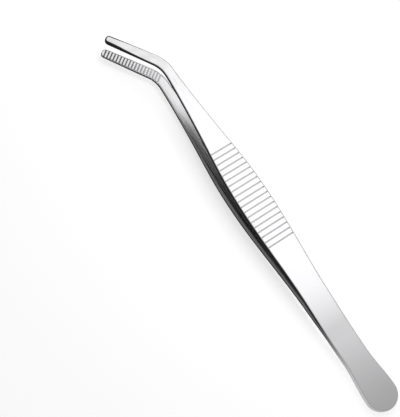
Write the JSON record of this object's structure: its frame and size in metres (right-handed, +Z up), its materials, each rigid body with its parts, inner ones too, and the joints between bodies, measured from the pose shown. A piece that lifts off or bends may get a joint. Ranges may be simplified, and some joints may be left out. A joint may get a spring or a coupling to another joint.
{
  "type": "curved tweezers",
  "caption": "Steel tweezers: bowed arms joined at a round tail, grooved finger grips, long tapers and narrow serrated jaws bent to one side.",
  "frame": {"origin": "middle of the underside of the box round the tweezers, lying at rest on the lower arm", "axes": "+X from the tail to the jaws, +Y the side that the jaws bend to, +Z up from the surface it lies on"},
  "size_m": [0.137, 0.0168, 0.0125],
  "materials": {
    "steel": "polished stainless steel"
  },
  "bodies": {
    "root": {"upper_arm": "steel", "lower_arm": "steel"}
  },
  "joints": []
}
